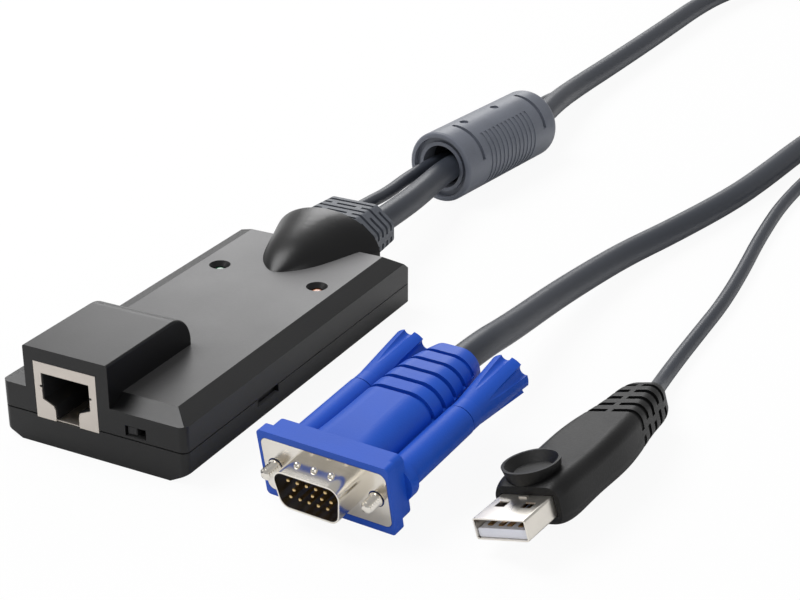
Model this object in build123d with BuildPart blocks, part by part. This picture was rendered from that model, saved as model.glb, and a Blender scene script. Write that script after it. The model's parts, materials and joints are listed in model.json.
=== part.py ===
from build123d import *
from math import cos, radians, sin, tan
import os

# Adapter that joins a server's video and USB sockets to a network-style socket.
# All lengths are in millimetres. The frame is +X to the right as seen from the
# socket end, +Y along the case to the leads and +Z up. The origin is the middle
# of the case's underside.

# Case shells
case_width = 47.0
case_length = 98.0
wall = 1.7
seam_height = 7.3
wall_top_height = 13.1
plate_height = 15.0
plate_inset = 4.7
rear_slope_length = 5.8
rear_slope_drop = 4.6
bottom_bevel_width = 4.3
bottom_bevel_height = 2.2
corner_radius = 1.6
seam_groove = 0.35
seam_groove_depth = 0.5
fit_gap = 0.1

# Hood over the socket
hood_left = -17.0
hood_right = 4.8
hood_height = 23.0
hood_length = 30.4
hood_roll_radius = 7.0
hood_edge_radius = 0.5

# Hump over the strain relief, as half width, half height and middle height
hump_start = 23.2
hump_end_half_width = 15.0
hump_end_half_height = 9.4
hump_middle_height = 12.6
hump_wall = 1.2

# Lamps, switch and latches
lamp_spacing = 27.2
lamp_back = 20.6
lamp_radius = 1.5
lamp_flange_radius = 1.9
lamp_funnel_radius = 2.6
switch_window_left = 8.5
switch_window_width = 5.2
switch_window_bottom = 7.8
switch_window_height = 2.5
switch_travel = 2.4
latch_back = 31.6
latch_length = 8.5
latch_height = 2.0
latch_depth = 1.0

# Circuit board
board_side_gap = 0.8
board_end_gap = 2.3
board_thickness = 1.6
board_top = 6.5
post_radius = 2.2
post_side_inset = 4.5
post_end_inset = 12.0

# Socket
socket_left = -14.5
socket_width = 16.1
socket_height = 13.3
socket_depth = 16.0
socket_sheet = 0.3
socket_mouth_width = 11.9
socket_mouth_height = 8.3
socket_mouth_drop = 2.5
socket_latch_width = 5.6
socket_key_width = 6.3
socket_face_rim = 1.6
contact_pitch = 1.02
contact_count = 8
contact_width = 0.4

# Strain relief on the case
boot_length = 14.0
boot_middle_height = 13.0
boot_start_half_width = 12.4
boot_start_half_height = 7.1
boot_end_half_width = 11.4
boot_end_half_height = 6.4
boot_neck_half_width = 11.0
boot_neck_half_height = 5.8
boot_flange_lip = 0.6
boot_flange_thickness = 1.4
boot_slot_count = 5
boot_slot_width = 1.0
boot_slot_pitch = 2.5
boot_slot_depth = 1.1

# Leads and ferrite sleeve
video_lead_diameter = 6.8
usb_lead_diameter = 3.6
lead_spread = 10.0
lead_seat_gap = 0.3
lead_seat_depth = 1.6
ferrite_radius = 10.2
ferrite_length = 48.4
ferrite_near_x = -2.6
ferrite_near_y = 116.4
ferrite_yaw = -7.2
ferrite_bore_radius = 6.2
ferrite_core_outer_radius = 8.8
ferrite_core_length = 36.0
ferrite_rib_count = 12
ferrite_rib_pitch = 2.1
ferrite_rib_height = 0.22

# Video plug
video_x = 55.15
video_y = -46.95
video_yaw = -7.0
video_pitch = 8.0
video_roll = -2.5
video_frame_width = 32.4
video_frame_height = 15.8
video_rim_thickness = 2.6
video_block_depth = 6.2
video_block_inset = 0.75
video_plate_width = 30.8
video_plate_height = 12.5
video_plate_thickness = 0.5
video_screw_spacing = 24.99
video_shell_wide = 17.3
video_shell_height = 8.8
video_shell_reach = 5.9
video_shell_sheet = 0.4
video_shell_slant = 10.0
video_shell_corner = 2.6
video_plate_corner = 1.6
video_pocket_depth = 4.4
video_body_end = 31.0
video_boot_end = 47.0
video_sleeve_end = 29.4
video_slot_count = 5
video_slot_start = 25.0
video_slot_pitch = 4.3
video_slot_width = 1.2
video_slot_depth = 1.3
sleeve_radius = 3.5
pin_radius = 0.38
pin_pitch = 2.29
pin_row_pitch = 1.98

# Thumbscrews
screw_radius = 1.42
screw_reach = 3.9
screw_start = 0.3
shank_radius = 1.6
knob_radius = 3.4
knob_end_radius = 4.9
knob_length = 18.6
knob_gap = 0.3
knob_socket_depth = 9.0
knob_flute_count = 6
knob_flute_radius = 1.35
running_gap = 0.06

# USB plug
usb_x = 92.13
usb_y = -44.51
usb_z = 7.1
usb_yaw = -6.2
usb_pitch = 0.8
usb_roll = -16.6
usb_shell_width = 12.0
usb_shell_height = 4.5
usb_shell_sheet = 0.3
usb_shell_reach = 10.6
usb_shell_length = 18.0
usb_tongue_thickness = 1.9
usb_body_half_width = 8.3
usb_body_half_height = 4.8
usb_boot_end = 64.0
usb_boot_side = -1.7
usb_boot_drop = 0.9
usb_dish_radius = 6.1
usb_dish_height = 2.1
usb_dish_x = -1.0
usb_dish_back = 16.0
usb_window_back = 6.3
usb_window_spacing = 6.0
usb_window_size = 2.3
usb_tab_back = 9.6
usb_slot_count = 5
usb_slot_start = 45.0
usb_slot_pitch = 3.7
usb_slot_width = 1.5
usb_contact_count = 4

os.makedirs("parts", exist_ok=True)

half_width = case_width / 2
half_length = case_length / 2
board_width = case_width - 2 * (wall + board_side_gap)
board_length = case_length - 2 * (wall + board_end_gap)
post_spread_x = board_width - 2 * post_side_inset
post_spread_y = board_length - 2 * post_end_inset


def section(y):
    """Plane across the case at y, with its own x along X and its own y along Z."""
    return Plane.XZ.offset(-y)


def outline(*points):
    """Flat face inside a closed outline."""
    return Polygon(*points, align=None)


def export(part, name):
    part.label = name
    export_step(part, "parts/" + name + ".step")


# Lower case: a tray with bevelled long edges, a seam groove, latch notches and board posts
lower_outline = (
    (-half_width + bottom_bevel_width, 0),
    (half_width - bottom_bevel_width, 0),
    (half_width, bottom_bevel_height),
    (half_width, seam_height),
    (-half_width, seam_height),
    (-half_width, bottom_bevel_height),
)
post_height = board_top - board_thickness - wall
with BuildPart() as lower_case:
    with BuildSketch(section(-half_length)):
        outline(*lower_outline)
    extrude(amount=-case_length)
    fillet(lower_case.edges().filter_by(Axis.Z), corner_radius)
    with BuildSketch(Plane.XY.offset(wall)):
        RectangleRounded(case_width - 2 * bottom_bevel_width, case_length - 2 * wall, corner_radius)
    extrude(amount=seam_height, mode=Mode.SUBTRACT)
    with BuildSketch(Plane.XY.offset(bottom_bevel_height + wall / 2)):
        RectangleRounded(case_width - 2 * wall, case_length - 2 * wall, corner_radius)
    extrude(amount=seam_height, mode=Mode.SUBTRACT)
    with BuildSketch(Plane.XY.offset(seam_height - seam_groove)):
        RectangleRounded(case_width + 1, case_length + 1, corner_radius)
        RectangleRounded(
            case_width - 2 * seam_groove_depth,
            case_length - 2 * seam_groove_depth,
            corner_radius - seam_groove_depth,
            mode=Mode.SUBTRACT,
        )
    extrude(amount=seam_groove, mode=Mode.SUBTRACT)
    latch_y = -half_length + latch_back
    with BuildSketch(Plane.XY.offset(seam_height - latch_height)):
        with Locations((half_width, latch_y), (-half_width, latch_y)):
            Rectangle(2 * latch_depth, latch_length)
    extrude(amount=latch_height, mode=Mode.SUBTRACT)
    with BuildSketch(Plane.XY.offset(wall)):
        with GridLocations(post_spread_x, post_spread_y, 2, 2):
            Circle(post_radius)
    extrude(amount=post_height)
    socket_middle = socket_left + socket_width / 2
    with BuildSketch(Plane.XY.offset(board_top - fit_gap)):
        with Locations((socket_middle, -half_length)):
            Rectangle(socket_width + 2 * fit_gap, 4 * wall)
    extrude(amount=seam_height, mode=Mode.SUBTRACT)


def boot_outline(half_w, half_h, middle):
    """Eight-sided outline of the strain relief, round at its corners."""
    shoulder_x = 0.56 * half_w
    shoulder_z = 0.38 * half_h
    return Polygon(
        (half_w, middle - shoulder_z),
        (half_w, middle + shoulder_z),
        (shoulder_x, middle + half_h),
        (-shoulder_x, middle + half_h),
        (-half_w, middle + shoulder_z),
        (-half_w, middle - shoulder_z),
        (-shoulder_x, middle - half_h),
        (shoulder_x, middle - half_h),
        align=None,
    )


def boot_size(y):
    """Half width and half height of the strain relief at y."""
    share = (y - half_length) / boot_length
    half_w = boot_start_half_width + share * (boot_end_half_width - boot_start_half_width)
    half_h = boot_start_half_height + share * (boot_end_half_height - boot_start_half_height)
    return half_w, half_h


# Passage for the strain relief through the rear wall of both shells
with BuildPart() as boot_passage:
    with BuildSketch(section(half_length - wall - 1)):
        boot_outline(boot_neck_half_width + fit_gap, boot_neck_half_height + fit_gap, boot_middle_height)
    extrude(amount=-(wall + 2))
with BuildPart() as lower_shell:
    add(lower_case.part)
    add(boot_passage.part, mode=Mode.SUBTRACT)
export(lower_shell.part, "lower_case")

# Upper case: bevelled lid with the socket hood, the hump, lamp funnels and the switch window
upper_outline = (
    (-half_width, seam_height),
    (half_width, seam_height),
    (half_width, wall_top_height),
    (half_width - plate_inset, plate_height),
    (-half_width + plate_inset, plate_height),
    (-half_width, wall_top_height),
)
hood_back = -half_length + hood_length
hood_middle = (hood_left + hood_right) / 2
hood_width = hood_right - hood_left


hump_shares = (
    (0.0, 0.1, 0.06),
    (0.13, 0.34, 0.34),
    (0.3, 0.53, 0.6),
    (0.57, 0.72, 0.84),
    (0.8, 0.87, 0.96),
    (1.0, 1.0, 1.0),
)


def hump_middle(share):
    """Height of the middle of the hump's section at a share of its length."""
    return hump_middle_height + (plate_height - 0.5 - hump_middle_height) * (1 - share) ** 2


with BuildPart() as upper_block:
    with BuildSketch(section(-half_length)):
        outline(*upper_outline)
    extrude(amount=-case_length)
    fillet(upper_block.edges().filter_by(Axis.Z), corner_radius)
    with BuildSketch(Plane.YZ.offset(-half_width)):
        outline(
            (-half_length, wall_top_height),
            (-half_length + plate_inset, plate_height),
            (-half_length, plate_height),
        )
        outline(
            (half_length, plate_height - rear_slope_drop),
            (half_length - rear_slope_length, plate_height),
            (half_length, plate_height),
        )
    extrude(amount=case_width, mode=Mode.SUBTRACT)
with BuildPart() as hood_block:
    with BuildSketch(Plane.YZ.offset(hood_left)):
        with BuildLine():
            Polyline(
                (-half_length, seam_height),
                (-half_length, hood_height),
                (hood_back - hood_roll_radius, hood_height),
            )
            RadiusArc(
                (hood_back - hood_roll_radius, hood_height),
                (hood_back, hood_height - hood_roll_radius),
                hood_roll_radius,
            )
            Polyline(
                (hood_back, hood_height - hood_roll_radius),
                (hood_back, seam_height),
                (-half_length, seam_height),
            )
        make_face()
    extrude(amount=hood_width)
    hood_sides = hood_block.faces().filter_by(Axis.X)
    fillet(hood_sides.edges().filter_by(lambda e: e.center().Z > plate_height + 1), hood_edge_radius)
hump_length = half_length - hump_start
with BuildPart() as hump_block:
    for share, width_share, height_share in hump_shares:
        with BuildSketch(section(hump_start + share * hump_length)):
            with Locations((0, hump_middle(share))):
                Ellipse(hump_end_half_width * width_share, hump_end_half_height * height_share)
    loft()
    with BuildSketch(Plane.XY.offset(seam_height)):
        with Locations((0, half_length)):
            Rectangle(case_width, case_length)
    extrude(amount=-seam_height, mode=Mode.SUBTRACT)
with BuildPart() as hump_hollow:
    for share, width_share, height_share in hump_shares[2:]:
        with BuildSketch(section(hump_start + share * hump_length - wall)):
            with Locations((0, hump_middle(share))):
                Ellipse(
                    hump_end_half_width * width_share - hump_wall,
                    hump_end_half_height * height_share - hump_wall,
                )
    loft()
# Hollow under the lid: the section across the case cut by the profile along it
inner_half_width = half_width - wall
inner_half_length = half_length - wall
rear_inner_height = plate_height - rear_slope_drop - 0.5 * wall
with BuildPart() as lid_hollow:
    with BuildSketch(section(-inner_half_length)):
        outline(
            (-inner_half_width, seam_height - 1),
            (inner_half_width, seam_height - 1),
            (inner_half_width, wall_top_height - 0.5 * wall),
            (half_width - plate_inset, plate_height - wall),
            (-half_width + plate_inset, plate_height - wall),
            (-inner_half_width, wall_top_height - 0.5 * wall),
        )
    extrude(amount=-2 * inner_half_length)
    with BuildSketch(Plane.YZ.offset(-half_width)):
        outline(
            (-inner_half_length, seam_height - 1),
            (-inner_half_length, wall_top_height - wall),
            (-inner_half_length + plate_inset / 2, plate_height - wall),
            (half_length - rear_slope_length - 0.6, plate_height - wall),
            (inner_half_length, rear_inner_height),
            (inner_half_length, seam_height - 1),
        )
    extrude(amount=case_width, mode=Mode.INTERSECT)
with BuildPart() as upper_case:
    add(upper_block.part)
    add(hood_block.part)
    add(hump_block.part)
    add(lid_hollow.part, mode=Mode.SUBTRACT)
    # Hollow of the hood
    with BuildSketch(Plane.YZ.offset(hood_left + wall)):
        outline(
            (-half_length + wall, seam_height - 1),
            (-half_length + wall, hood_height - wall),
            (hood_back - hood_roll_radius, hood_height - wall),
            (hood_back - wall, plate_height),
            (hood_back - wall, seam_height - 1),
        )
    extrude(amount=hood_width - 2 * wall, mode=Mode.SUBTRACT)
    add(hump_hollow.part, mode=Mode.SUBTRACT)
    add(boot_passage.part, mode=Mode.SUBTRACT)
    # Mouth for the socket
    with BuildSketch(section(-half_length)):
        with Locations((socket_middle, board_top + socket_height / 2)):
            Rectangle(socket_width + 2 * fit_gap, socket_height + 2 * fit_gap)
    extrude(amount=-2 * wall, mode=Mode.SUBTRACT)
    # Switch window
    window_x = switch_window_left + switch_window_width / 2
    window_z = switch_window_bottom + switch_window_height / 2
    with BuildSketch(section(-half_length)):
        with Locations((window_x, window_z)):
            Rectangle(switch_window_width, switch_window_height)
    extrude(amount=-2 * wall, mode=Mode.SUBTRACT)
    # Lamp funnels
    with Locations(Plane.XY.offset(plate_height)):
        with Locations((-lamp_spacing / 2, lamp_back), (lamp_spacing / 2, lamp_back)):
            CounterSinkHole(lamp_radius + fit_gap, lamp_funnel_radius, plate_height - seam_height)
export(upper_case.part, "upper_case")

# Circuit board on its four posts, with holes for nothing but air around the posts
with BuildPart() as circuit_board:
    with BuildSketch(Plane.XY.offset(board_top - board_thickness)):
        Rectangle(board_width, board_length)
    extrude(amount=board_thickness)
    chamfer(circuit_board.edges().filter_by(Axis.Z), 1.0)
export(circuit_board.part, "circuit_board")

# Chips, crystal and lead headers standing on the board: x, y, length, width, height
board_parts_list = (
    (8.0, -8.0, 14.0, 14.0, 1.4),
    (-9.0, -4.0, 10.0, 6.0, 1.6),
    (-9.0, 8.0, 5.0, 4.0, 1.5),
    (11.0, 8.0, 8.0, 5.0, 1.6),
    (8.0, 30.0, 12.0, 5.0, 5.6),
    (-8.0, 30.0, 9.0, 4.2, 5.2),
)
with BuildPart() as board_parts:
    for x, y, length, width, height in board_parts_list:
        with BuildSketch(Plane.XY.offset(board_top)):
            with Locations((x, y)):
                Rectangle(length, width)
        extrude(amount=height)
export(board_parts.part, "board_parts")

# Socket shield: a folded tin box, open at the front round its rim and below for the plug's latch
socket_bottom = board_top
socket_top = board_top + socket_height
socket_middle_height = (socket_bottom + socket_top) / 2
mouth_top = socket_top - socket_mouth_drop
mouth_bottom = mouth_top - socket_mouth_height


def socket_mouth(wider):
    """Mouth for a modular plug: the plug's body, its key and its latch below."""
    half_w = socket_mouth_width / 2 + wider
    half_key = socket_key_width / 2 + wider
    half_latch = socket_latch_width / 2 + wider
    key_top = mouth_bottom + 1.0
    outline(
        (socket_middle - half_w, key_top + 1.2),
        (socket_middle - half_w, mouth_top),
        (socket_middle + half_w, mouth_top),
        (socket_middle + half_w, key_top + 1.2),
        (socket_middle + half_key, key_top),
        (socket_middle + half_latch, mouth_bottom),
        (socket_middle + half_latch, socket_bottom - 1),
        (socket_middle - half_latch, socket_bottom - 1),
        (socket_middle - half_latch, mouth_bottom),
        (socket_middle - half_key, key_top),
    )


with BuildPart() as socket_shield:
    with BuildSketch(section(-half_length)):
        with Locations((socket_middle, socket_middle_height)):
            Rectangle(socket_width, socket_height)
    extrude(amount=-socket_depth)
    with BuildSketch(section(-half_length + socket_sheet)):
        with Locations((socket_middle, socket_middle_height)):
            Rectangle(socket_width - 2 * socket_sheet, socket_height - 2 * socket_sheet)
    extrude(amount=-(socket_depth - 2 * socket_sheet), mode=Mode.SUBTRACT)
    with BuildSketch(section(-half_length)):
        socket_mouth(0.25)
        with Locations(
            (socket_middle - socket_mouth_width / 2, mouth_bottom + 0.62 * socket_mouth_height),
            (socket_middle + socket_mouth_width / 2, mouth_bottom + 0.62 * socket_mouth_height),
        ):
            Rectangle(1.6, 0.5)
    extrude(amount=-socket_sheet, mode=Mode.SUBTRACT)
export(socket_shield.part, "socket_shield")

# Socket body: black moulding inside the shield, with a comb for the contacts
body_front = -half_length + socket_sheet + 0.05
comb_pitch_span = contact_pitch * (contact_count - 1)
plug_depth = 12.0
with BuildPart() as socket_body:
    with BuildSketch(section(body_front)):
        with Locations((socket_middle, socket_middle_height)):
            Rectangle(
                socket_width - 2 * socket_sheet - 2 * fit_gap,
                socket_height - 2 * socket_sheet - 2 * fit_gap,
            )
    extrude(amount=-(socket_depth - 2 * socket_sheet - 0.1))
    with BuildSketch(section(body_front)):
        socket_mouth(0)
    extrude(amount=-plug_depth, mode=Mode.SUBTRACT)
    with BuildSketch(section(body_front + 1.5)):
        with Locations((socket_middle, mouth_top + 0.3)):
            with GridLocations(contact_pitch, 0, contact_count, 1):
                Rectangle(contact_width + 0.2, 1.2)
    extrude(amount=-(plug_depth - 1.5), mode=Mode.SUBTRACT)
export(socket_body.part, "socket_body")

# Socket contacts: eight gilt springs that slope down from the comb
contact_drop = 3.6
contact_thick = 0.3
with BuildPart() as socket_contacts:
    for index in range(contact_count):
        x = socket_middle + (index - (contact_count - 1) / 2) * contact_pitch
        with BuildSketch(Plane.YZ.offset(x - contact_width / 2)):
            outline(
                (body_front + 1.9, mouth_top + 0.85),
                (body_front + 1.9, mouth_top + 0.55),
                (body_front + 3.0, mouth_top + 0.3),
                (body_front + plug_depth - 2.5, mouth_top - contact_drop),
                (body_front + plug_depth - 2.2, mouth_top - contact_drop + contact_thick),
                (body_front + 3.3, mouth_top + 0.6),
            )
        extrude(amount=contact_width)
export(socket_contacts.part, "socket_contacts")


def lamp(x, name):
    """Round indicator lamp with a domed top, a flange and two legs down to the board."""
    flange_z = plate_height - wall - 1.4
    dome_z = plate_height - 1.0
    with BuildPart() as lamp_part:
        with BuildSketch(Plane.XY.offset(flange_z)):
            with Locations((x, lamp_back)):
                Circle(lamp_flange_radius)
        extrude(amount=-0.9)
        with BuildSketch(Plane.XY.offset(flange_z)):
            with Locations((x, lamp_back)):
                Circle(lamp_radius)
        extrude(amount=dome_z - flange_z)
        fillet(lamp_part.edges().group_by(Axis.Z)[-1], 0.9)
        leg_length = flange_z - 0.9 - board_top
        with BuildSketch(Plane.XY.offset(board_top)):
            with Locations((x - 1.27, lamp_back), (x + 1.27, lamp_back)):
                Rectangle(0.5, 0.5)
        extrude(amount=leg_length)
    export(lamp_part.part, name)


lamp(-lamp_spacing / 2, "link_lamp")
lamp(lamp_spacing / 2, "power_lamp")

# Slide switch behind its window: a body with a slot, and the slider that shows
switch_body_front = -half_length + wall + 0.3
switch_body_depth = 3.6
switch_body_height = 4.4
switch_body_width = 9.0
slider_width = switch_window_width - switch_travel - 0.4
slider_left = switch_window_left + 0.2
slider_height = switch_window_height - 0.5
slot_left = slider_left - 0.15
slot_width = slider_width + switch_travel + 0.3
slot_depth = 2.0
with BuildPart() as switch_body:
    with BuildSketch(Plane.XY.offset(board_top)):
        with Locations((window_x, switch_body_front + switch_body_depth / 2)):
            Rectangle(switch_body_width, switch_body_depth)
    extrude(amount=switch_body_height)
    with BuildSketch(section(switch_body_front)):
        with Locations((slot_left + slot_width / 2, window_z)):
            Rectangle(slot_width, slider_height + 0.3)
    extrude(amount=-slot_depth, mode=Mode.SUBTRACT)
export(switch_body.part, "switch_body")
with BuildPart() as switch_slider:
    slider_front = -half_length + 0.5
    with BuildSketch(section(slider_front)):
        with Locations((slider_left + slider_width / 2, window_z)):
            Rectangle(slider_width, slider_height)
    extrude(amount=-(switch_body_front + slot_depth - 0.15 - slider_front))
    chamfer(switch_slider.faces().sort_by(Axis.Y)[0].edges(), 0.2)
export(switch_slider.part, "switch_slider")

# Strain relief on the case: a tapered eight-sided boot with slots and bridges, a neck in
# the rear wall and a lip behind the wall
boot_end = half_length + boot_length
lip_front = inner_half_length - fit_gap - boot_flange_thickness
neck_length = wall + 2 * fit_gap
with BuildPart() as boot_slots:
    for index in range(boot_slot_count):
        slot_y = half_length + 1.7 + index * boot_slot_pitch
        slot_w, slot_h = boot_size(slot_y)
        bridge_x = 0.3 * slot_w if index % 2 else 0.62 * slot_w
        with BuildSketch(section(slot_y)):
            boot_outline(slot_w + 1, slot_h + 1, boot_middle_height)
            with BuildSketch(mode=Mode.SUBTRACT):
                Polygon(
                    (slot_w - boot_slot_depth, boot_middle_height - 0.3 * slot_h),
                    (slot_w - boot_slot_depth, boot_middle_height + 0.3 * slot_h),
                    (0.5 * slot_w, boot_middle_height + slot_h - boot_slot_depth),
                    (-0.5 * slot_w, boot_middle_height + slot_h - boot_slot_depth),
                    (-slot_w + boot_slot_depth, boot_middle_height + 0.3 * slot_h),
                    (-slot_w + boot_slot_depth, boot_middle_height - 0.3 * slot_h),
                    (-0.5 * slot_w, boot_middle_height - slot_h + boot_slot_depth),
                    (0.5 * slot_w, boot_middle_height - slot_h + boot_slot_depth),
                    align=None,
                )
            with Locations((bridge_x, boot_middle_height), (-bridge_x, boot_middle_height)):
                Rectangle(1.5, 4 * slot_h, mode=Mode.SUBTRACT)
            with Locations((0, boot_middle_height)):
                Rectangle(4 * slot_w, 1.6, mode=Mode.SUBTRACT)
        extrude(amount=-boot_slot_width)
with BuildPart() as boot_body:
    for y in (half_length + 0.05, boot_end):
        with BuildSketch(section(y)):
            boot_outline(*boot_size(y), boot_middle_height)
    loft(ruled=True)
    fillet(boot_body.edges().filter_by(lambda e: abs(e.length - boot_length) < 0.4), 1.6)
with BuildPart() as case_boot:
    add(boot_body.part)
    with BuildSketch(section(lip_front)):
        boot_outline(
            boot_neck_half_width + boot_flange_lip,
            boot_neck_half_height + boot_flange_lip,
            boot_middle_height,
        )
    extrude(amount=-boot_flange_thickness)
    with BuildSketch(section(lip_front)):
        boot_outline(boot_neck_half_width, boot_neck_half_height, boot_middle_height)
    extrude(amount=-(boot_flange_thickness + neck_length + 1))
    add(boot_slots.part, mode=Mode.SUBTRACT)
    # Seats for the two leads
    with BuildSketch(section(boot_end)):
        with Locations((lead_spread / 2, boot_middle_height)):
            Circle(video_lead_diameter / 2 + lead_seat_gap)
        with Locations((-lead_spread / 2, boot_middle_height)):
            Circle(usb_lead_diameter / 2 + lead_seat_gap)
    extrude(amount=lead_seat_depth, mode=Mode.SUBTRACT)
export(case_boot.part, "case_boot")


def lead(route, diameter, name):
    """Round lead along a hand-chosen route, with its corners eased as far as its runs allow."""
    radii = []
    for before, corner, after in zip(route, route[1:], route[2:]):
        back = Vector(*corner) - Vector(*before)
        ahead = Vector(*after) - Vector(*corner)
        turn = radians(back.get_angle(ahead))
        radii.append(0.45 * min(back.length, ahead.length) / tan(turn / 2))
    with BuildPart() as tube:
        with BuildLine():
            path = FilletPolyline(*route, radius=radii)
        with BuildSketch(Plane(origin=path @ 0, z_dir=path % 0)):
            Circle(diameter / 2)
        sweep(path=path)
    expected = path.length * 3.14159 * diameter**2 / 4
    print(name, "length", round(path.length, 1), "radii", [round(r) for r in radii])
    print(name, "volume", round(tube.part.volume / expected, 4))
    export(tube.part, name)


# Both leads run from the strain relief through the sleeve, turn well behind it and
# come back to the plugs. The thin one lies beside and under the thick one.
video_route = (
    (5.0, 62.2, 13.0),
    (4.9, 80.0, 12.6),
    (2.2, 98.0, 11.0),
    (-0.42, 116.1, 10.2),
    (2.6, 140.1, 10.2),
    (5.68, 164.1, 10.2),
    (1.6, 187.0, 9.0),
    (-1.6, 212.0, 6.4),
    (-1.6, 242.0, 5.6),
    (-0.7, 284.0, 5.6),
    (-0.4, 338.0, 5.6),
    (6.0, 372.0, 5.0),
    (28.0, 392.0, 4.0),
    (56.0, 392.0, 3.5),
    (80.0, 372.0, 3.5),
    (89.0, 338.0, 3.5),
    (88.0, 298.0, 3.5),
    (85.0, 250.0, 3.5),
    (78.4, 203.0, 3.5),
    (75.4, 167.0, 3.5),
    (72.6, 146.0, 3.5),
    (66.4, 117.0, 3.7),
    (62.3, 97.0, 4.6),
    (60.4, 80.0, 5.7),
    (59.4, 55.6, 8.1),
    (60.56, 26.9, 12.0),
    (61.3, 9.5, 15.2),
    (60.7, -1.74, 15.03),
)
usb_route = (
    (-5.0, 62.2, 13.0),
    (-4.4, 77.0, 12.7),
    (-5.2, 90.0, 11.0),
    (-6.7, 104.0, 10.3),
    (-6.17, 116.9, 10.2),
    (-3.05, 140.9, 10.2),
    (0.1, 164.8, 10.2),
    (-4.2, 187.0, 7.6),
    (-6.3, 212.0, 3.6),
    (-5.9, 242.0, 1.9),
    (-4.9, 284.0, 1.85),
    (-4.7, 340.0, 1.85),
    (0.0, 378.0, 1.85),
    (25.0, 401.0, 1.85),
    (60.0, 401.0, 1.85),
    (87.5, 378.0, 1.85),
    (97.5, 340.0, 1.85),
    (96.5, 298.0, 1.85),
    (93.0, 250.0, 1.85),
    (87.5, 203.0, 1.85),
    (85.2, 160.0, 1.85),
    (87.6, 129.0, 1.85),
    (90.7, 104.5, 1.85),
    (92.6, 83.3, 1.85),
    (93.0, 67.0, 1.85),
    (93.5, 50.0, 1.9),
    (94.7, 34.0, 2.7),
    (96.9, 24.6, 5.6),
    (97.59, 18.48, 6.63),
)


# Ferrite sleeve: a ribbed moulding with an end collar, round a tubular core
ferrite_turn = radians(ferrite_yaw)
ferrite_plane = Plane(
    origin=(ferrite_near_x, ferrite_near_y, ferrite_radius),
    x_dir=(cos(ferrite_turn), sin(ferrite_turn), 0),
    z_dir=(sin(ferrite_turn), -cos(ferrite_turn), 0),
)
core_start = (ferrite_length - ferrite_core_length) / 2
core_bore_radius = ferrite_bore_radius + 0.6
with BuildPart() as ferrite_profile:
    with BuildSketch(ferrite_plane):
        Circle(ferrite_radius)
    extrude(amount=-ferrite_length)
    fillet(ferrite_profile.faces().sort_by(Axis.Y)[-1].edges(), 2.6)
    fillet(ferrite_profile.faces().sort_by(Axis.Y)[0].edges(), 0.8)
with BuildPart() as ferrite_sleeve:
    add(ferrite_profile.part)
    with BuildSketch(ferrite_plane):
        Circle(ferrite_radius - 1.5)
        Circle(ferrite_bore_radius + 1.1, mode=Mode.SUBTRACT)
    extrude(amount=-1.6, mode=Mode.SUBTRACT)
    with BuildSketch(ferrite_plane):
        Circle(ferrite_bore_radius + 1.2)
    extrude(amount=-0.7, mode=Mode.SUBTRACT)
    with BuildSketch(ferrite_plane.offset(1)):
        Circle(ferrite_bore_radius)
    extrude(amount=-(ferrite_length + 2), mode=Mode.SUBTRACT)
    with BuildSketch(ferrite_plane.offset(-core_start)):
        Circle(ferrite_core_outer_radius)
    extrude(amount=-ferrite_core_length, mode=Mode.SUBTRACT)
    # Grip ribs on both sides
    for index in range(ferrite_rib_count):
        with BuildSketch(ferrite_plane.offset(-(11 + index * ferrite_rib_pitch))):
            Circle(ferrite_radius + 0.2)
            Circle(ferrite_radius - ferrite_rib_height, mode=Mode.SUBTRACT)
            Rectangle(12, 4 * ferrite_radius, mode=Mode.SUBTRACT)
        extrude(amount=-ferrite_rib_pitch / 2, mode=Mode.SUBTRACT)
    # Closing slots and dimples of the snap halves
    for depth in (7.0, 40.0):
        with BuildSketch(ferrite_plane.offset(-depth)):
            Circle(ferrite_radius + 0.2)
            Circle(ferrite_radius - 0.9, mode=Mode.SUBTRACT)
            with Locations((0, -ferrite_radius)):
                Rectangle(4 * ferrite_radius, 2.4 * ferrite_radius, mode=Mode.SUBTRACT)
            with Locations((-ferrite_radius - 1, 0)):
                Rectangle(2 * ferrite_radius, 4 * ferrite_radius, mode=Mode.SUBTRACT)
        extrude(amount=-1.4, mode=Mode.SUBTRACT)
    dimple_plane = Plane(
        origin=ferrite_plane.from_local_coords((0, ferrite_radius + 0.3, 0)),
        x_dir=ferrite_plane.x_dir,
        z_dir=(0, 0, 1),
    )
    with BuildSketch(dimple_plane):
        with Locations((0, 12), (0, 28)):
            Circle(1.3)
    extrude(amount=-0.9, mode=Mode.SUBTRACT)
export(ferrite_sleeve.part, "ferrite_sleeve")
with BuildPart() as ferrite_core:
    with BuildSketch(ferrite_plane.offset(-core_start - fit_gap)):
        Circle(ferrite_core_outer_radius - fit_gap)
        Circle(core_bore_radius, mode=Mode.SUBTRACT)
    extrude(amount=-(ferrite_core_length - 2 * fit_gap))
export(ferrite_core.part, "ferrite_core")


def plug_plane(x, y, z, yaw, pitch, roll):
    """Plane on a plug's front: x across it, y up through it and z out of its front."""
    yaw_r = radians(yaw)
    pitch_r = radians(pitch)
    roll_r = radians(roll)
    across = (cos(roll_r), sin(roll_r) * sin(pitch_r), -sin(roll_r) * cos(pitch_r))
    tail = (0, cos(pitch_r), sin(pitch_r))

    def turned(v):
        return (v[0] * cos(yaw_r) - v[1] * sin(yaw_r), v[0] * sin(yaw_r) + v[1] * cos(yaw_r), v[2])

    across = turned(across)
    tail = turned(tail)
    return Plane(origin=(x, y, z), x_dir=across, z_dir=(-tail[0], -tail[1], -tail[2]))


# Video plug
video_z = (
    video_frame_height / 2 * cos(radians(video_pitch))
    + video_frame_width / 2 * sin(radians(-video_roll))
    + fit_gap
)
video_plane = plug_plane(video_x, video_y, video_z, video_yaw, video_pitch, video_roll)


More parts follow.
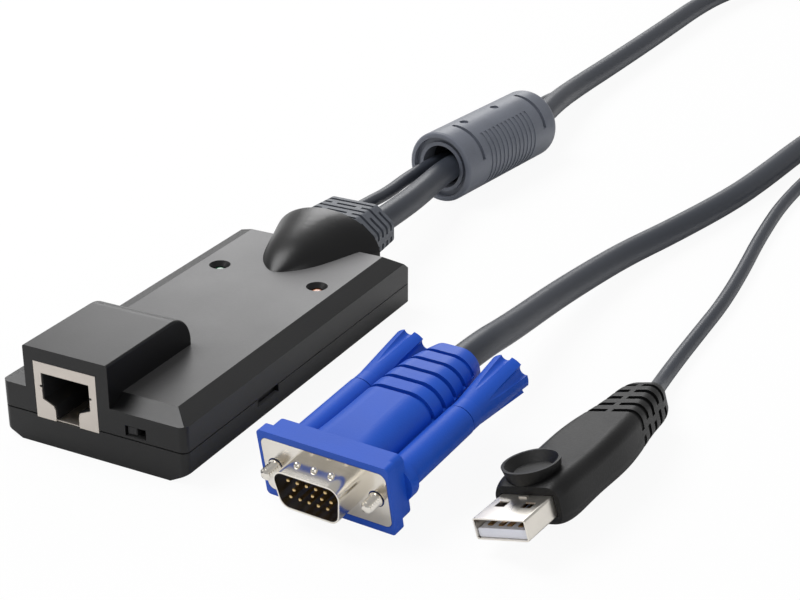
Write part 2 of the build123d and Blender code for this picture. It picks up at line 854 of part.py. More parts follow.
def shell_outline(smaller):
    """Outline of the video plug's shell, wide above, with rounded corners."""
    half_h = video_shell_height / 2 - smaller
    high_w = video_shell_wide / 2 - smaller
    low_w = high_w - 2 * half_h * tan(radians(video_shell_slant))
    with BuildSketch(Plane.XY, mode=Mode.PRIVATE) as flat:
        Polygon((-low_w, -half_h), (low_w, -half_h), (high_w, half_h), (-high_w, half_h), align=None)
        fillet(flat.vertices(), video_shell_corner - smaller)
    return flat.sketch


half_screw_spacing = video_screw_spacing / 2
bore_radius = shank_radius + running_gap
sleeve_end = video_sleeve_end
# Stations of the hood's body: distance back, half width, half height, corner share
body_stations = (
    (video_block_depth - 1.0, 9.6, 6.3),
    (12.0, 9.0, 6.5),
    (video_body_end - 7.0, 8.8, 6.5),
    (35.0, 8.4, 6.2),
    (42.0, 7.4, 5.6),
    (video_boot_end, 6.2, 4.9),
)
with BuildPart() as hood_body:
    for back, half_w, half_h in body_stations:
        with BuildSketch(video_plane.offset(-back)):
            RectangleRounded(2 * half_w, 2 * half_h, 0.86 * half_h)
    loft()
with BuildPart() as video_hood:
    with BuildSketch(video_plane):
        RectangleRounded(video_frame_width, video_frame_height, 1.0)
    extrude(amount=-video_rim_thickness)
    with BuildSketch(video_plane.offset(-video_rim_thickness)):
        RectangleRounded(
            video_frame_width - 2 * video_block_inset,
            video_frame_height - 2 * video_block_inset,
            1.6,
        )
    extrude(amount=-(video_block_depth - video_rim_thickness))
    add(hood_body.part)
    # Saddles at the block and sleeves for the thumbscrews
    with BuildSketch(video_plane.offset(-(video_block_depth - 0.5))):
        with Locations((-half_screw_spacing, 0), (half_screw_spacing, 0)):
            Circle(sleeve_radius)
    extrude(amount=-(sleeve_end - video_block_depth + 0.5))
    with BuildSketch(video_plane.offset(-(video_block_depth - 0.5))):
        with Locations((-half_screw_spacing, 0), (half_screw_spacing, 0)):
            Circle(sleeve_radius + 1.0)
    extrude(amount=-2.4)
    # Webs that join the sleeves to the body
    with BuildSketch(video_plane.offset(-(video_block_depth - 0.5))):
        Rectangle(video_screw_spacing, 3.0)
    extrude(amount=-(sleeve_end - 4.0 - video_block_depth))
    # Slots of the strain relief, over and under the body
    for index in range(video_slot_count):
        slot_back = video_slot_start + index * video_slot_pitch
        shrink = 0.42 * index
        with BuildSketch(video_plane.offset(-slot_back)):
            RectangleRounded(18.6 - 1.2 * shrink, 13.8 - shrink, 4.6)
            RectangleRounded(18.2 - 1.2 * shrink - 2 * video_slot_depth, 13.0 - shrink - 2 * video_slot_depth, 3.8, mode=Mode.SUBTRACT)
            Rectangle(30, 2.4, mode=Mode.SUBTRACT)
        extrude(amount=-video_slot_width, mode=Mode.SUBTRACT)
    # Pocket for the metal plate, room for the shell's insert and bores for the screws
    with BuildSketch(video_plane):
        RectangleRounded(
            video_plate_width + 2 * fit_gap,
            video_plate_height + 2 * fit_gap,
            video_plate_corner + fit_gap,
        )
    extrude(amount=-(video_plate_thickness + fit_gap), mode=Mode.SUBTRACT)
    with BuildSketch(video_plane):
        add(shell_outline(-0.1))
    extrude(amount=-video_pocket_depth, mode=Mode.SUBTRACT)
    with BuildSketch(video_plane):
        with Locations((-half_screw_spacing, 0), (half_screw_spacing, 0)):
            Circle(bore_radius)
    extrude(amount=-(sleeve_end + 1), mode=Mode.SUBTRACT)
    with BuildSketch(video_plane.offset(-video_boot_end)):
        Circle(video_lead_diameter / 2 + 2 * lead_seat_gap)
    extrude(amount=1.25 * lead_seat_depth, mode=Mode.SUBTRACT)
export(video_hood.part, "video_hood")

# Shell: plate with screw holes and a hollow, slanted shell with grip dimples on top
with BuildPart() as video_shell:
    with BuildSketch(video_plane):
        RectangleRounded(video_plate_width, video_plate_height, video_plate_corner)
        with Locations((-half_screw_spacing, 0), (half_screw_spacing, 0)):
            Circle(bore_radius + 0.2, mode=Mode.SUBTRACT)
    extrude(amount=-video_plate_thickness)
    with BuildSketch(video_plane.offset(video_shell_reach)):
        add(shell_outline(0))
    extrude(amount=-(video_shell_reach + video_plate_thickness))
    with BuildSketch(video_plane.offset(video_shell_reach)):
        add(shell_outline(video_shell_sheet))
    extrude(amount=-(video_shell_reach + video_plate_thickness), mode=Mode.SUBTRACT)
    for index in range(3):
        dimple_x = (index - 1) * 4.2
        dimple_at = video_plane.from_local_coords((dimple_x, video_shell_height / 2, 2.6))
        with Locations(Location(dimple_at)):
            Sphere(0.75)
    with BuildSketch(video_plane.offset(video_shell_reach)):
        add(shell_outline(video_shell_sheet))
    extrude(amount=-(video_shell_reach + video_plate_thickness), mode=Mode.SUBTRACT)
export(video_shell.part, "video_shell")

# Insert: black block deep in the shell, bored for the pins, with one of fifteen pins left out
insert_front = video_shell_reach - 5.4
pin_spots = []
for row, shift in ((-1, -0.25), (0, 0.25), (1, -0.25)):
    for index in range(5):
        if row or index != 1:
            pin_spots.append(((index - 2 + shift) * pin_pitch, row * pin_row_pitch))
with BuildPart() as video_insert:
    with BuildSketch(video_plane.offset(insert_front)):
        add(shell_outline(video_shell_sheet + 0.05))
    extrude(amount=-(insert_front + video_pocket_depth - 0.2))
    with BuildSketch(video_plane.offset(insert_front)):
        with Locations(*pin_spots):
            Circle(pin_radius + 0.05)
    extrude(amount=-(insert_front + 3.0), mode=Mode.SUBTRACT)
export(video_insert.part, "video_insert")
with BuildPart() as video_pins:
    with BuildSketch(video_plane.offset(video_shell_reach - 0.8)):
        with Locations(*pin_spots):
            Circle(pin_radius)
    extrude(amount=-(video_shell_reach - 0.8 + 2.9))
    chamfer(video_pins.faces().filter_by(video_plane).sort_by(Axis.Y)[:14].edges(), 0.15)
export(video_pins.part, "video_pins")


def thumbscrew(x, side):
    """Knob with a flared, fluted grip, and its screw with a thinner end for the thread."""
    knob_front = sleeve_end + knob_gap
    knob_back = knob_front + knob_length
    with BuildPart() as knob:
        with BuildSketch(video_plane.offset(-knob_front)):
            with Locations((x, 0)):
                Circle(knob_radius)
        extrude(amount=-3.0)
        with BuildSketch(video_plane.offset(-(knob_front + 3.0))):
            with Locations((x, 0)):
                Circle(knob_radius)
        with BuildSketch(video_plane.offset(-knob_back)):
            with Locations((x, 0)):
                Circle(knob_end_radius)
        loft(ruled=True)
        for index in range(knob_flute_count):
            angle = 360 / knob_flute_count * (index + 0.5)
            near = Vector(knob_radius + knob_flute_radius * 0.92, 0).rotate(Axis.Z, angle)
            far = Vector(knob_end_radius + 0.2, 0).rotate(Axis.Z, angle)
            with BuildSketch(video_plane.offset(-(knob_front + 4.0))):
                with Locations((x + near.X, near.Y)):
                    Circle(knob_flute_radius * 0.7)
            with BuildSketch(video_plane.offset(-(knob_back + 0.1))):
                with Locations((x + far.X, far.Y)):
                    Circle(knob_flute_radius)
            loft(ruled=True, mode=Mode.SUBTRACT)
        with BuildSketch(video_plane.offset(-knob_front)):
            with Locations((x, 0)):
                Circle(shank_radius)
        extrude(amount=-knob_socket_depth, mode=Mode.SUBTRACT)
    export(knob.part, side + "_knob")
    with BuildPart() as screw:
        with BuildSketch(video_plane.offset(screw_start)):
            with Locations((x, 0)):
                Circle(shank_radius)
        extrude(amount=-(screw_start + knob_front + knob_socket_depth - fit_gap))
        with BuildSketch(video_plane.offset(screw_reach)):
            with Locations((x, 0)):
                Circle(screw_radius)
        extrude(amount=-screw_reach)
        chamfer(screw.faces().sort_by(Axis.Y)[0].edges(), 0.5)
    export(screw.part, side + "_jackscrew")


thumbscrew(-half_screw_spacing, "left")
thumbscrew(half_screw_spacing, "right")

# USB plug
usb_plane = plug_plane(usb_x, usb_y, usb_z, usb_yaw, usb_pitch, usb_roll)
usb_up = Vector(*usb_plane.y_dir)
# Stations of the overmould: distance back, sideways shift, drop, half width, half height
usb_stations = (
    (usb_shell_reach, -0.1, 0.0, 7.3, 3.9),
    (usb_shell_reach + 1.6, -0.1, 0.0, 7.9, 4.5),
    (20.0, 0.0, 0.0, usb_body_half_width, usb_body_half_height),
    (32.0, 0.0, 0.0, usb_body_half_width, usb_body_half_height),
    (44.0, -0.2, 0.0, 7.4, 4.7),
    (56.0, -0.9, 0.3, 5.8, 4.5),
    (usb_boot_end, usb_boot_side, usb_boot_drop, 4.3, 4.0),
)
with BuildPart() as overmould_body:
    for back, shift, drop, half_w, half_h in usb_stations:
        with BuildSketch(usb_plane.offset(-back)):
            with Locations((shift, -drop)):
                RectangleRounded(2 * half_w, 2 * half_h, 0.62 * half_h)
    loft()
with BuildPart() as usb_overmould:
    add(overmould_body.part)
    # Finger dish: a cup that stands on the front of the body
    dish_plane = Plane(
        origin=usb_plane.from_local_coords((usb_dish_x, usb_body_half_height - 1.6, -usb_dish_back)),
        x_dir=usb_plane.x_dir,
        z_dir=usb_plane.y_dir,
    )
    with BuildSketch(dish_plane):
        Circle(usb_dish_radius - 0.9)
    with BuildSketch(dish_plane.offset(1.6 + usb_dish_height)):
        Circle(usb_dish_radius)
    loft(ruled=True)
    with BuildSketch(dish_plane.offset(1.6 + usb_dish_height + 0.01)):
        Circle(usb_dish_radius - 0.6)
    with BuildSketch(dish_plane.offset(1.9)):
        Circle(usb_dish_radius - 2.2)
    loft(ruled=True, mode=Mode.SUBTRACT)
    # Slots of the strain relief: two short ones above and below, one long one at the sides
    for index in range(usb_slot_count):
        slot_back = usb_slot_start + index * usb_slot_pitch
        slot_shift = -0.2 - 1.1 * index / usb_slot_count
        slot_w = 7.6 - 0.62 * index
        slot_h = 4.85 - 0.12 * index
        with BuildSketch(usb_plane.offset(-slot_back)):
            with Locations((slot_shift, 0)):
                RectangleRounded(2 * slot_w + 1.0, 2 * slot_h + 1.0, 3.2)
                RectangleRounded(2 * slot_w - 1.8, 2 * slot_h - 1.8, 2.4, mode=Mode.SUBTRACT)
                Rectangle(1.3, 30, mode=Mode.SUBTRACT)
                with Locations((0, 0.9 * (index % 2) - 0.45)):
                    Rectangle(30, 1.3, mode=Mode.SUBTRACT)
        extrude(amount=-usb_slot_width, mode=Mode.SUBTRACT)
    # Seat for the lead and room for the shell
    with BuildSketch(usb_plane.offset(-usb_boot_end)):
        with Locations((usb_boot_side, -usb_boot_drop)):
            Circle(usb_lead_diameter / 2 + 2 * lead_seat_gap)
    extrude(amount=lead_seat_depth, mode=Mode.SUBTRACT)
    with BuildSketch(usb_plane):
        Rectangle(usb_shell_width + 2 * fit_gap, usb_shell_height + 2 * fit_gap)
    extrude(amount=-(usb_shell_length + fit_gap), mode=Mode.SUBTRACT)
export(usb_overmould.part, "usb_overmould")

# Shell of the USB plug with two latch windows on each flat side and a stop tab
with BuildPart() as usb_shell:
    with BuildSketch(usb_plane):
        RectangleRounded(usb_shell_width, usb_shell_height, 0.45)
        RectangleRounded(
            usb_shell_width - 2 * usb_shell_sheet,
            usb_shell_height - 2 * usb_shell_sheet,
            0.2,
            mode=Mode.SUBTRACT,
        )
    extrude(amount=-usb_shell_length)
    window_plane = Plane(
        origin=usb_plane.from_local_coords((0, usb_shell_height, -usb_window_back)),
        x_dir=usb_plane.x_dir,
        z_dir=usb_plane.y_dir,
    )
    with BuildSketch(window_plane):
        with GridLocations(usb_window_spacing, 0, 2, 1):
            Rectangle(usb_window_size, usb_window_size)
    extrude(amount=-2 * usb_shell_height, mode=Mode.SUBTRACT)
    tab_plane = Plane(
        origin=usb_plane.from_local_coords((0, usb_shell_height / 2 - 0.05, -usb_tab_back)),
        x_dir=usb_plane.x_dir,
        z_dir=usb_plane.y_dir,
    )
    with BuildSketch(tab_plane):
        Rectangle(1.8, 0.8)
    extrude(amount=0.35)
export(usb_shell.part, "usb_shell")

# Tongue along the bottom of the shell and its four contacts
tongue_bottom = -usb_shell_height / 2 + usb_shell_sheet + 0.05
tongue_middle = tongue_bottom + usb_tongue_thickness / 2
tongue_width = usb_shell_width - 2 * usb_shell_sheet - 0.2
contact_positions = (-3.5, -1.0, 1.0, 3.5)
with BuildPart() as usb_tongue:
    with BuildSketch(usb_plane.offset(-0.5)):
        with Locations((0, tongue_middle)):
            RectangleRounded(tongue_width, usb_tongue_thickness, 0.4)
    extrude(amount=-(usb_shell_length - 1.0))
    with BuildSketch(usb_plane.offset(-1.6)):
        with Locations(*[(x, tongue_bottom + usb_tongue_thickness) for x in contact_positions]):
            Rectangle(1.2, 0.3)
    extrude(amount=-(usb_shell_length - 2.6), mode=Mode.SUBTRACT)
export(usb_tongue.part, "usb_tongue")
with BuildPart() as usb_contacts:
    with BuildSketch(usb_plane.offset(-1.7)):
        with Locations(*[(x, tongue_bottom + usb_tongue_thickness + 0.05) for x in contact_positions]):
            Rectangle(1.0, 0.34)
    extrude(amount=-(usb_shell_length - 2.8))
export(usb_contacts.part, "usb_contacts")

lead(video_route, video_lead_diameter, "video_lead")
lead(usb_route, usb_lead_diameter, "usb_lead")
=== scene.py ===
"""Looks of a server interface dongle with a video plug and a USB plug, laid out as an add-on."""

import json
import math

import bmesh
import bpy
from bpy.props import FloatProperty, FloatVectorProperty, PointerProperty
from mathutils import Matrix, Vector


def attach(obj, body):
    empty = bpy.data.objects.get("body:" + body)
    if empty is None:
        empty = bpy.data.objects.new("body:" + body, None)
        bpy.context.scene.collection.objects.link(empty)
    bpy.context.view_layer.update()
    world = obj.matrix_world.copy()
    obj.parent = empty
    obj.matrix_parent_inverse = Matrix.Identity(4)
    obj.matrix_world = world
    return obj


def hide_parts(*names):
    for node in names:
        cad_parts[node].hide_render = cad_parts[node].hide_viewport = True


bl_info = {
    "name": "Interface dongle looks",
    "version": (1, 0, 0),
    "blender": (4, 5, 0),
    "location": "3D View > Sidebar > Dongle",
    "description": "Dresses the dongle's CAD solids and adds its leads, screw threads and studio",
    "category": "Object",
}

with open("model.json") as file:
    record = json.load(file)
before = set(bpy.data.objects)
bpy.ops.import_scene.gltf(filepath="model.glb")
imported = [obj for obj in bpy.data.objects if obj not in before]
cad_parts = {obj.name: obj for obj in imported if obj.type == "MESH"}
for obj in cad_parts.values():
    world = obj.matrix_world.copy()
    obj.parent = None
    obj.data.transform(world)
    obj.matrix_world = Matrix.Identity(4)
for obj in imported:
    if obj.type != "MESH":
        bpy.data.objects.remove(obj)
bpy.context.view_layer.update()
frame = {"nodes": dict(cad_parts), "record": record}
SLOT_OF = {row["node"]: row["material_slot"] for row in frame["record"]["subparts"]}
MM = 0.001

# Distance from the middle of the case to its socket end, in metres
CASE_HALF_LENGTH = 0.049

# The video plug's front in metres, its yaw, pitch and roll in degrees, and its screws in millimetres
PLUG_FRONT = (0.05515, -0.04695, 0.0086299)
PLUG_ANGLES = (-7.0, 8.0, -2.5)
SCREW_SIDE = 12.495
THREAD_RADIUS = 1.42
THREAD_PITCH = 0.64
THREAD_DEPTH = 0.36
THREAD_END = 3.6
THREAD_TAPER_START = 3.2
SHANK_RADIUS = 1.6
SHANK_BACK = -38.6

# Where the camera stands, in metres
CAMERA_PLACE = (0.212554, -0.310385, 0.189812)

# Centre lines of the two leads in metres, from the strain relief to each plug
VIDEO_ROUTE = (
    (0.005, 0.0622, 0.013),
    (0.0049, 0.08, 0.0126),
    (0.0022, 0.098, 0.011),
    (-0.00042, 0.1161, 0.0102),
    (0.0026, 0.1401, 0.0102),
    (0.00568, 0.1641, 0.0102),
    (0.0016, 0.187, 0.009),
    (-0.0016, 0.212, 0.0064),
    (-0.0016, 0.242, 0.0056),
    (-0.0007, 0.284, 0.0056),
    (-0.0004, 0.338, 0.0056),
    (0.006, 0.372, 0.005),
    (0.028, 0.392, 0.004),
    (0.056, 0.392, 0.0035),
    (0.08, 0.372, 0.0035),
    (0.089, 0.338, 0.0035),
    (0.088, 0.298, 0.0035),
    (0.085, 0.25, 0.0035),
    (0.0784, 0.203, 0.0035),
    (0.0754, 0.167, 0.0035),
    (0.0726, 0.146, 0.0035),
    (0.0664, 0.117, 0.0037),
    (0.0623, 0.097, 0.0046),
    (0.0604, 0.08, 0.0057),
    (0.0594, 0.0556, 0.0081),
    (0.06056, 0.0269, 0.012),
    (0.0613, 0.0095, 0.0152),
    (0.0607, -0.00174, 0.01503),
)
USB_ROUTE = (
    (-0.005, 0.0622, 0.013),
    (-0.0044, 0.077, 0.0127),
    (-0.0052, 0.09, 0.011),
    (-0.0067, 0.104, 0.0103),
    (-0.00617, 0.1169, 0.0102),
    (-0.00305, 0.1409, 0.0102),
    (0.0001, 0.1648, 0.0102),
    (-0.0042, 0.187, 0.0076),
    (-0.0063, 0.212, 0.0036),
    (-0.0059, 0.242, 0.0019),
    (-0.0049, 0.284, 0.00185),
    (-0.0047, 0.34, 0.00185),
    (0.0, 0.378, 0.00185),
    (0.025, 0.401, 0.00185),
    (0.06, 0.401, 0.00185),
    (0.0875, 0.378, 0.00185),
    (0.0975, 0.34, 0.00185),
    (0.0965, 0.298, 0.00185),
    (0.093, 0.25, 0.00185),
    (0.0875, 0.203, 0.00185),
    (0.0852, 0.16, 0.00185),
    (0.0876, 0.129, 0.00185),
    (0.0907, 0.1045, 0.00185),
    (0.0926, 0.0833, 0.00185),
    (0.093, 0.067, 0.00185),
    (0.0935, 0.05, 0.0019),
    (0.0947, 0.034, 0.0027),
    (0.0969, 0.0246, 0.0056),
    (0.09759, 0.01848, 0.00663),
)


# Shader maths


class Reading:
    """A node's output that can be used in a sum."""

    def __init__(self, finish, socket):
        self.finish = finish
        self.socket = socket

    def sum_with(self, operation, first, second):
        return self.finish.node("ShaderNodeMath", {"operation": operation}, {0: first, 1: second})

    def __add__(self, other):
        return self.sum_with("ADD", self, other)

    __radd__ = __add__

    def __sub__(self, other):
        return self.sum_with("SUBTRACT", self, other)

    def __mul__(self, other):
        return self.sum_with("MULTIPLY", self, other)

    __rmul__ = __mul__


class Finish:
    """One material and the nodes that make it."""

    def __init__(self, name, **constants):
        self.material = bpy.data.materials.new(name)
        self.material.use_nodes = True
        self.nodes = self.material.node_tree.nodes
        self.links = self.material.node_tree.links
        self.nodes.clear()
        self.shader = self.nodes.new("ShaderNodeBsdfPrincipled")
        self.output = self.nodes.new("ShaderNodeOutputMaterial")
        self.links.new(self.shader.outputs[0], self.output.inputs["Surface"])
        for socket, value in constants.items():
            self.shader.inputs[socket.replace("_", " ")].default_value = value

    def feed(self, socket, value):
        if isinstance(value, Reading):
            self.links.new(value.socket, socket)
        elif hasattr(value, "__len__") and len(value) == 3 and socket.type == "RGBA":
            socket.default_value = (*value, 1.0)
        else:
            socket.default_value = value

    def node(self, kind, settings=None, sockets=None, output=0):
        made = self.nodes.new(kind)
        for name, value in (settings or {}).items():
            if name == "stops":
                while len(made.color_ramp.elements) < len(value):
                    made.color_ramp.elements.new(0.5)
                for element, (place, shade) in zip(made.color_ramp.elements, value):
                    element.position = place
                    element.color = (shade, shade, shade, 1.0)
            else:
                setattr(made, name, value)
        for name, value in (sockets or {}).items():
            self.feed(made.inputs[name], value)
        return Reading(self, made.outputs[output])

    def place(self):
        """Position on the surface in the row's own frame, in metres."""
        return self.node("ShaderNodeTexCoord", output="Object")

    def stretched(self, scale):
        """Position with each axis scaled, for streaks."""
        return self.node(
            "ShaderNodeVectorMath",
            {"operation": "MULTIPLY"},
            {0: self.place(), 1: scale},
        )

    def noise(self, scale, detail=2.0, at=None):
        """Soft noise from 0 to 1, with `scale` features to a metre."""
        return self.node(
            "ShaderNodeTexNoise",
            {"noise_dimensions": "3D"},
            {"Vector": at or self.place(), "Scale": scale, "Detail": detail},
        )

    def steps(self, value, stops):
        """Value through a ramp of (place, level) stops."""
        return self.node("ShaderNodeValToRGB", {"stops": stops}, {"Fac": value})

    def mixed(self, factor, first, second):
        """Colour between two colours."""
        return self.node(
            "ShaderNodeMix",
            {"data_type": "RGBA", "clamp_factor": True},
            {0: factor, 6: first, 7: second},
            output=2,
        )

    def bumped(self, height, depth, strength):
        """Normal raised by a height from 0 to 1 that is `depth` metres deep."""
        return self.node(
            "ShaderNodeBump", {}, {"Height": height, "Distance": depth, "Strength": strength}
        )

    def surface(self, **varying):
        """Sets what changes over the surface on the shader's sockets."""
        for name, value in varying.items():
            self.feed(self.shader.inputs[name.replace("_", " ")], value)
        return self.material


def shade_of(colour, factor):
    """Colour made darker or lighter by a factor."""
    return tuple(min(1.0, max(0.0, c * factor)) for c in colour[:3])


def moulded(name, colour, roughness, spark=2600.0, depth=0.00002, patchy=0.06):
    """Moulded plastic: fine spark texture, faint flow patches and uneven gloss."""
    finish = Finish(name, IOR=1.4)
    patches = finish.noise(60.0, 3.0)
    grain = finish.noise(spark, 2.0)
    pores = finish.noise(spark * 2.7, 1.0)
    tone = finish.mixed(
        finish.steps(patches, ((0.3, 0.0), (0.7, 1.0))),
        shade_of(colour, 1 - patchy),
        shade_of(colour, 1 + patchy),
    )
    gloss = roughness + 0.10 * (patches - 0.5) + 0.08 * (grain - 0.5)
    height = 0.7 * grain + 0.3 * pores
    return finish.surface(
        Base_Color=tone,
        Roughness=gloss,
        Normal=finish.bumped(height, depth, 0.8),
    )


def sheen_painted_moulded(name, colour, painted_sheen_colour, roughness):
    """Case plastic with a painted sheen: its upward flat faces are painted lighter, more so towards
    the back, in place of the back lamp's reflection, and their skin is a little rougher than the
    bevels and walls.
    """
    finish = Finish(name, IOR=1.4)
    patches = finish.noise(60.0, 3.0)
    grain = finish.noise(2300.0, 2.0)
    facing = finish.node("ShaderNodeNewGeometry", output="Normal")
    upward = finish.node("ShaderNodeSeparateXYZ", {}, {0: facing}, output="Z")
    along = finish.node("ShaderNodeSeparateXYZ", {}, {0: finish.place()}, output="Y")
    # Mask of the upward flat faces: a sheen is painted into their colour here, and their skin is made
    # a little rougher
    sheen_and_rougher_mask = finish.steps(upward, ((0.984, 0.0), (0.997, 1.0)))
    # The painted sheen grows lighter from the socket end towards the back, in place of the back
    # lamp's reflection
    from_front = along + CASE_HALF_LENGTH
    painted_sheen_ramp = 0.8 * (0.42 + 9.0 * from_front)
    painted_lid_sheen = finish.mixed(finish.steps(painted_sheen_ramp, ((0.0, 0.0), (1.0, 1.0))), (0.0, 0.0, 0.0), painted_sheen_colour)
    body = finish.mixed(patches, shade_of(colour, 0.85), shade_of(colour, 1.15))
    return finish.surface(
        Base_Color=finish.mixed(sheen_and_rougher_mask, body, painted_lid_sheen),
        Roughness=roughness + 0.08 * sheen_and_rougher_mask + 0.10 * (patches - 0.5) + 0.08 * (grain - 0.5),
        Normal=finish.bumped(grain, 0.000016, 0.8),
    )


def soft_moulded(name, colour, roughness):
    """Soft rubbery plastic with a matt skin, faint dust and slow waves."""
    finish = Finish(name, IOR=1.5, Sheen_Weight=0.05, Sheen_Roughness=0.5)
    waves = finish.noise(110.0, 2.0)
    skin = finish.noise(1900.0, 3.0)
    tone = finish.mixed(
        finish.steps(waves * 0.6 + skin * 0.4, ((0.3, 0.0), (0.7, 1.0))),
        shade_of(colour, 0.9),
        shade_of(colour, 1.1),
    )
    return finish.surface(
        Base_Color=tone,
        Roughness=roughness + 0.14 * (waves - 0.5),
        Normal=finish.bumped(0.5 * waves + 0.5 * skin, 0.00003, 0.7),
    )


def jacket(name, colour, roughness):
    """Lead jacket: smooth extruded plastic with faint lengthwise drag lines."""
    finish = Finish(name, IOR=1.5)
    drag = finish.noise(1.0, 2.0, finish.stretched((2600.0, 60.0, 2600.0)))
    slow = finish.noise(45.0, 2.0)
    tone = finish.mixed(slow, shade_of(colour, 0.9), shade_of(colour, 1.12))
    return finish.surface(
        Base_Color=tone,
        Roughness=roughness + 0.12 * (slow - 0.5) + 0.05 * (drag - 0.5),
        Normal=finish.bumped(drag, 0.00001, 0.6),
    )


def plated(name, colour, roughness, streak=(900.0, 60.0, 900.0), depth=0.000004):
    """Plated metal with fine drawn streaks and slightly uneven plating."""
    finish = Finish(name, Metallic=1.0, IOR=1.8)
    clouds = finish.noise(150.0, 3.0)
    drawn = finish.noise(1.0, 3.0, finish.stretched(streak))
    tone = finish.mixed(clouds, shade_of(colour, 0.88), shade_of(colour, 1.08))
    return finish.surface(
        Base_Color=tone,
        Roughness=roughness + 0.12 * (clouds - 0.5) + 0.08 * (drawn - 0.5),
        Normal=finish.bumped(drawn, depth, 0.6),
    )


def lens(name, colour, roughness):
    """Tinted lamp lens: glossy, with a darker core."""
    finish = Finish(name, IOR=1.5, Coat_Roughness=0.05)
    depth = finish.noise(700.0, 1.0)
    tone = finish.mixed(depth, shade_of(colour, 0.7), shade_of(colour, 1.3))
    return finish.surface(Base_Color=tone, Roughness=roughness + 0.06 * depth, Coat_Weight=0.6)


def board_mask(name, colour):
    """Solder mask with faint tracks under it."""
    finish = Finish(name, IOR=1.5)
    tracks = finish.node(
        "ShaderNodeTexBrick",
        {"offset": 0.5},
        {"Vector": finish.place(), "Scale": 260.0, "Mortar Size": 0.06},
        output="Fac",
    )
    tone = finish.mixed(tracks, colour[:3], shade_of(colour, 2.2))
    return finish.surface(
        Base_Color=tone,
        Roughness=0.35 + 0.1 * finish.noise(300.0),
        Normal=finish.bumped(tracks, 0.00003, 0.5),
    )


# Sizes and colours


def colour_property(name, description, default):
    """Colour setting of three parts from 0 to 1."""
    return FloatVectorProperty(
        name=name,
        description=description,
        default=default,
        size=3,
        min=0.0,
        max=1.0,
        subtype="COLOR",
    )


class DongleColours(bpy.types.PropertyGroup):
    """Colours of the dongle's finishes."""

    case: colour_property("Case", "Black of the case shells", (0.004, 0.004, 0.0044))
    # Grey of a painted sheen: the back lamp's reflection, painted on the case's upward flat faces
    painted_lid_sheen: colour_property("Lid", "Satin grey of the lid's flat faces", (0.15, 0.149, 0.151))
    boot: colour_property("Strain relief", "Grey of the case's strain relief", (0.075, 0.084, 0.102))
    jacket: colour_property("Leads", "Grey of both lead jackets", (0.03, 0.035, 0.047))
    sleeve: colour_property("Sleeve", "Grey of the ferrite sleeve", (0.13, 0.142, 0.174))
    video: colour_property("Video plug", "Blue of the video plug and its knobs", (0.008, 0.078, 0.5))
    usb: colour_property("USB plug", "Black of the USB plug's grip", (0.003, 0.003, 0.0032))
    shield: colour_property("Socket shield", "Dull tin of the socket's shield", (0.62, 0.57, 0.52))
    nickel: colour_property("Nickel", "Plating of the plug shells and screws", (0.82, 0.78, 0.71))
    gold: colour_property("Contacts", "Thin gold on pins and contacts", (0.72, 0.52, 0.24))
    floor: colour_property("Floor", "Paper that the dongle lies on", (0.86, 0.86, 0.86))


class DongleSizes(bpy.types.PropertyGroup):
    """Sizes of the leads and of the studio."""

    video_lead: FloatProperty(
        name="Video lead",
        description="Diameter of the thick lead",
        default=0.0068,
        unit="LENGTH",
    )
    usb_lead: FloatProperty(
        name="USB lead",
        description="Diameter of the thin lead",
        default=0.0036,
        unit="LENGTH",
    )
    floor_width: FloatProperty(
        name="Floor width",
        description="Side of the square floor",
        default=6.0,
        unit="LENGTH",
    )
    camera_lens: FloatProperty(
        name="Lens",
        description="Focal length of the camera in millimetres",
        default=81.0,
    )
    camera_turn: FloatProperty(
        name="Camera turn",
        description="Turn of the camera about the upright axis",
        default=math.radians(28.109),
        subtype="ANGLE",
    )
    camera_tilt: FloatProperty(
        name="Camera height angle",
        description="Angle at which the camera looks down",
        default=math.radians(24.815),
        subtype="ANGLE",
    )


def colours():
    """The scene's colour settings."""
    return bpy.context.scene.dongle_colours


def sizes():
    """The scene's size settings."""
    return bpy.context.scene.dongle_sizes


# Piece helpers


def dress(material, *names):
    """Puts a material on CAD nodes."""
    for name in names:
        piece = frame["nodes"][name]
        piece.data.materials.clear()
        piece.data.materials.append(material)


def shade_smooth(mesh, angle):
    """Shades a mesh smooth across edges of less than an angle in degrees."""
    for polygon in mesh.polygons:
        polygon.use_smooth = True
    mesh.set_sharp_from_angle(angle=math.radians(angle))


def smooth(names, angle):
    """Shades CAD nodes smooth up to an angle."""
    for name in names:
        shade_smooth(frame["nodes"][name].data, angle)


def new_piece(name, mesh_or_curve, material, body):
    """A new piece that rides on a body and has a material and a slot."""
    piece = bpy.data.objects.new(name, mesh_or_curve)
    bpy.context.scene.collection.objects.link(piece)
    mesh_or_curve.materials.append(material)
    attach(piece, body)
    return piece


def lead_curve(name, route, diameter, material):
    """Round lead on a smooth curve through the route's control points."""
    curve = bpy.data.curves.new(name, "CURVE")
    curve.dimensions = "3D"
    spline = curve.splines.new("NURBS")
    spline.points.add(len(route) - 1)
    for point, place in zip(spline.points, route):
        point.co = (*place, 1.0)
    spline.order_u = 3
    spline.use_endpoint_u = True
    spline.resolution_u = 10
    curve.bevel_depth = diameter / 2
    curve.bevel_resolution = 6
    curve.use_fill_caps = True
    return new_piece(name, curve, material, "dongle")


def plug_axes():
    """Middle of the video plug's front and its directions across, back and up, in metres."""
    yaw, pitch, roll = (math.radians(angle) for angle in PLUG_ANGLES)
    turn = Matrix.Rotation(yaw, 3, "Z")
    across = turn @ Vector(
        (math.cos(roll), math.sin(roll) * math.sin(pitch), -math.sin(roll) * math.cos(pitch))
    )
    back = turn @ Vector((0.0, math.cos(pitch), math.sin(pitch)))
    return Vector(PLUG_FRONT), across, back, across.cross(back)


